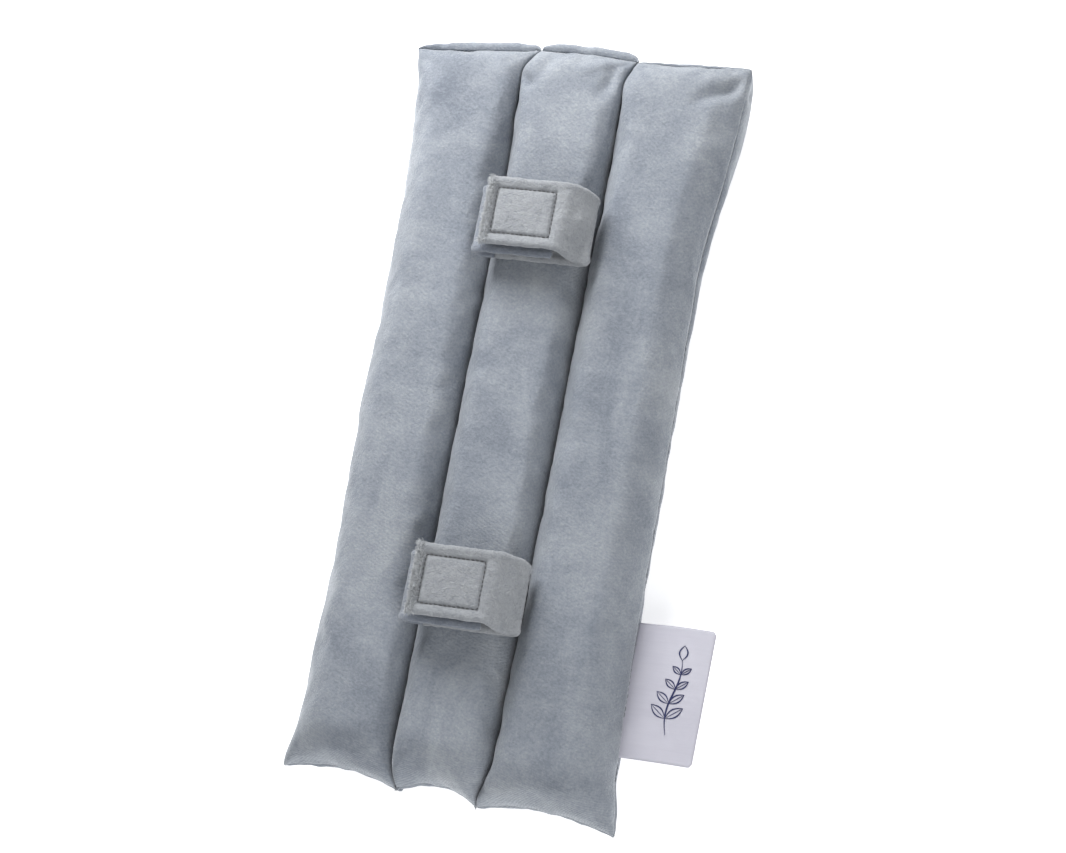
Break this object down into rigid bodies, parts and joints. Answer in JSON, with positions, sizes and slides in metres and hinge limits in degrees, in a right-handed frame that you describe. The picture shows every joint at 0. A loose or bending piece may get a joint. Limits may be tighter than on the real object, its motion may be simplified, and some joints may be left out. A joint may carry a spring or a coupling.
{
  "type": "eye pillow",
  "caption": "Soft plush pillow of parallel stuffed channels, with hook-and-loop straps across the middle one for a belt and a small side label.",
  "frame": {"origin": "middle of the rear face, which the pillow lies on", "axes": "+X across the channels towards the label, +Y along the channels towards the end away from the label, +Z out of the front, through the straps"},
  "size_m": [0.1678, 0.324, 0.0578],
  "materials": {
    "plush": "soft grey-blue short-pile plush",
    "strap_plush": "grey plush, a little longer and rougher",
    "filling": "loose off-white fibre",
    "thread": "dark brown-grey sewing thread",
    "pale_thread": "pale grey sewing thread",
    "hook_tape": "woven tape covered in fine hooks",
    "loop_tape": "woven tape covered in soft loops",
    "satin": "pale lavender satin"
  },
  "bodies": {
    "root": {"centre_front_panel": "plush", "centre_rear_panel": "plush", "centre_fill": "filling", "centre_top_stitching": "pale_thread", "centre_bottom_stitching": "pale_thread", "left_channel_stitching": "pale_thread", "right_channel_stitching": "pale_thread", "upper_strap_base": "strap_plush", "upper_base_stitching": "thread", "lower_strap_base": "strap_plush", "lower_base_stitching": "thread"},
    "left_channel": {"left_front_panel": "plush", "left_rear_panel": "plush", "left_fill": "filling", "left_perimeter_stitching": "pale_thread"},
    "right_channel": {"right_front_panel": "plush", "right_rear_panel": "plush", "right_fill": "filling", "right_perimeter_stitching": "pale_thread"},
    "label": {"label": "satin"},
    "upper_outer_flap": {"upper_outer_flap": "strap_plush", "upper_hook_patch": "hook_tape", "upper_hook_stitching": "thread"},
    "upper_inner_flap": {"upper_inner_flap": "strap_plush", "upper_loop_patch": "loop_tape", "upper_loop_stitching": "thread"},
    "lower_outer_flap": {"lower_outer_flap": "strap_plush", "lower_hook_patch": "hook_tape", "lower_hook_stitching": "thread"},
    "lower_inner_flap": {"lower_inner_flap": "strap_plush", "lower_loop_patch": "loop_tape", "lower_loop_stitching": "thread"}
  },
  "joints": [
    {"name": "left_channel_fold", "type": "hinge", "parent": "root", "child": "left_channel", "pos_m": [-0.024, 0, 0.02], "axis": [0, -1, 0], "range_deg": [-15, 30]},
    {"name": "right_channel_fold", "type": "hinge", "parent": "root", "child": "right_channel", "pos_m": [0.0185, 0, 0.02], "axis": [0, 1, 0], "range_deg": [-15, 30]},
    {"name": "label_flap", "type": "hinge", "parent": "right_channel", "child": "label", "pos_m": [0.06976, -0.1045, 0.02], "axis": [0, -1, 0], "range_deg": [-35, 60]},
    {"name": "upper_outer_flap_peel", "type": "hinge", "parent": "root", "child": "upper_outer_flap", "pos_m": [0.0225, 0.077, 0.05475], "axis": [0, 1, 0], "range_deg": [0, 150]},
    {"name": "upper_inner_flap_lift", "type": "hinge", "parent": "root", "child": "upper_inner_flap", "pos_m": [-0.0265, 0.077, 0.04985], "axis": [0, -1, 0], "range_deg": [0, 67.5]},
    {"name": "lower_outer_flap_peel", "type": "hinge", "parent": "root", "child": "lower_outer_flap", "pos_m": [0.0225, -0.0805, 0.05475], "axis": [0, 1, 0], "range_deg": [0, 150]},
    {"name": "lower_inner_flap_lift", "type": "hinge", "parent": "root", "child": "lower_inner_flap", "pos_m": [-0.0265, -0.0805, 0.04985], "axis": [0, -1, 0], "range_deg": [0, 67.5]}
  ],
  "couplings": [
    {"joint": "upper_inner_flap_lift", "follows": "upper_outer_flap_peel", "ratio": 0.45},
    {"joint": "lower_inner_flap_lift", "follows": "lower_outer_flap_peel", "ratio": 0.45}
  ]
}
